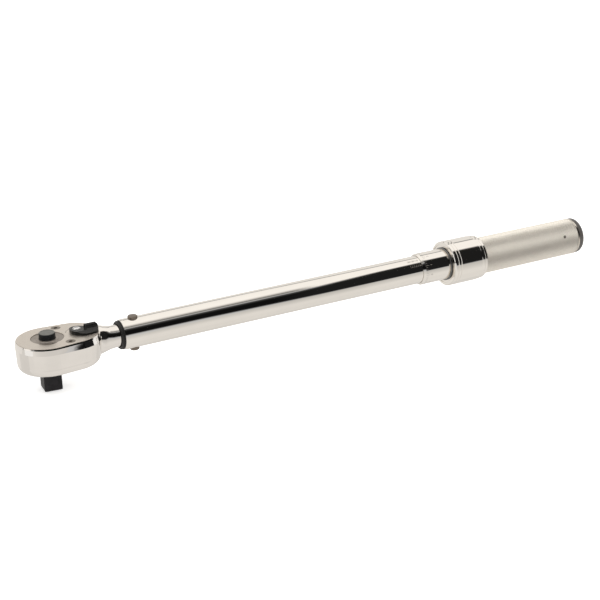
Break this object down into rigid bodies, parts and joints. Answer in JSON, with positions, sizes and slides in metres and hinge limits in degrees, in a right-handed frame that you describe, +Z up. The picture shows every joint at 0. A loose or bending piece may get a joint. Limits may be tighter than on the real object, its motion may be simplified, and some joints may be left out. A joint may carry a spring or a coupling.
{
  "type": "torque wrench",
  "caption": "Micrometer-style click torque wrench with a square-drive ratchet head, polished tube, knurled grip and pull-back lock ring",
  "frame": {"origin": "centre of the square drive's end face, on the drive axis", "axes": "+X runs along the tube from the ratchet head to the grip; +Z runs up the drive axis to the release button; +Y completes the right-handed frame"},
  "size_m": [0.4837, 0.0446, 0.0458],
  "materials": {
    "chrome": "bright polished chrome plate on steel",
    "satin_plate": "satin nickel-chrome, fine even grain",
    "knurled_steel": "satin chrome over a fine diamond knurl",
    "black_oxide_steel": "black oxide, dull",
    "button_black": "black oxide, slightly polished top",
    "lever_black": "semi-gloss black",
    "black_rubber": "moulded black rubber",
    "black_plastic": "dark grey moulded plastic",
    "pin_steel": "oiled ground steel, slightly brown",
    "screw_steel": "zinc-plated steel, dull",
    "bright_steel": "bright hardened steel",
    "spring_steel": "oil-tempered spring wire",
    "bronze": "machined bronze",
    "plain_steel": "machined steel, oiled"
  },
  "bodies": {
    "housing": {"tube": "chrome", "mouth_seal": "black_rubber", "pivot_pin": "pin_steel", "adjuster_nut": "bronze", "nut_pins": "plain_steel", "main_spring": "spring_steel"},
    "head": {"ratchet_head": "chrome", "cover_plate": "satin_plate", "cover_screws": "screw_steel", "detent_ball": "bright_steel", "detent_spring": "spring_steel"},
    "drive": {"drive_gear": "black_oxide_steel", "socket_ball": "bright_steel", "button_spring": "spring_steel"},
    "button": {"release_button": "button_black"},
    "pawl": {"pawl": "plain_steel"},
    "lever": {"reversing_lever": "lever_black", "lever_screw": "bright_steel"},
    "plunger": {"plunger": "plain_steel"},
    "tilt_block": {"tilt_block": "plain_steel"},
    "carrier": {"spring_seat": "plain_steel", "thrust_ball": "bright_steel"},
    "grip": {"grip_sleeve": "knurled_steel", "thimble": "chrome", "adjusting_screw": "plain_steel", "screw_hub": "plain_steel", "hub_set_screw": "screw_steel", "calibration_nut": "plain_steel", "end_cap": "black_plastic", "ring_stop_clip": "spring_steel", "lock_balls": "bright_steel", "lock_spring": "spring_steel"},
    "lock_ring": {"lock_ring": "chrome"}
  },
  "joints": [
    {"name": "head_click", "type": "hinge", "parent": "housing", "child": "head", "pos_m": [0.0636, 0, 0.028], "axis": [0, 0, 1], "range_deg": [0, 2], "stiffness_Nm_per_rad": 30, "springref_deg": -2.86},
    {"name": "plunger_slide", "type": "slide", "parent": "housing", "child": "plunger", "axis": [1, 0, 0], "range_m": [0, 0.0017], "deforming": ["main_spring"]},
    {"name": "block_tilt", "type": "hinge", "parent": "plunger", "child": "tilt_block", "pos_m": [0.1293, 0.0035, 0.028], "axis": [0, 0, 1], "range_deg": [-15, 0]},
    {"name": "drive_turn", "type": "hinge", "parent": "head", "child": "drive", "pos_m": [0, 0, 0.028], "axis": [0, 0, 1], "continuous": true},
    {"name": "button_press", "type": "slide", "parent": "drive", "child": "button", "axis": [0, 0, -1], "range_m": [0, 0.003], "stiffness_N_per_m": 800, "springref_m": -0.002, "deforming": ["button_spring"]},
    {"name": "lever_flip", "type": "hinge", "parent": "head", "child": "lever", "pos_m": [0.0215, 0, 0.028], "axis": [0, 0, 1], "range_deg": [0, 28]},
    {"name": "pawl_rock", "type": "hinge", "parent": "head", "child": "pawl", "pos_m": [0.0215, 0, 0.028], "axis": [0, 0, 1], "range_deg": [0, 12.2]},
    {"name": "grip_advance", "type": "slide", "parent": "housing", "child": "carrier", "axis": [-1, 0, 0], "range_m": [-0.0194, 0.0106], "deforming": ["main_spring"]},
    {"name": "grip_turn", "type": "hinge", "parent": "carrier", "child": "grip", "pos_m": [0.41, 0, 0.028], "axis": [-1, 0, 0], "range_deg": [-3960, 2160]},
    {"name": "ring_pull", "type": "slide", "parent": "grip", "child": "lock_ring", "axis": [1, 0, 0], "range_m": [0, 0.005], "stiffness_N_per_m": 500, "springref_m": -0.004, "deforming": ["lock_spring"]}
  ],
  "couplings": [
    {"joint": "plunger_slide", "follows": "head_click", "m_per_rad": 0.0455},
    {"joint": "block_tilt", "follows": "head_click", "ratio": -7.15},
    {"joint": "pawl_rock", "follows": "lever_flip", "ratio": 0.42857},
    {"joint": "grip_advance", "follows": "grip_turn", "m_per_rad": 0.00027852}
  ]
}
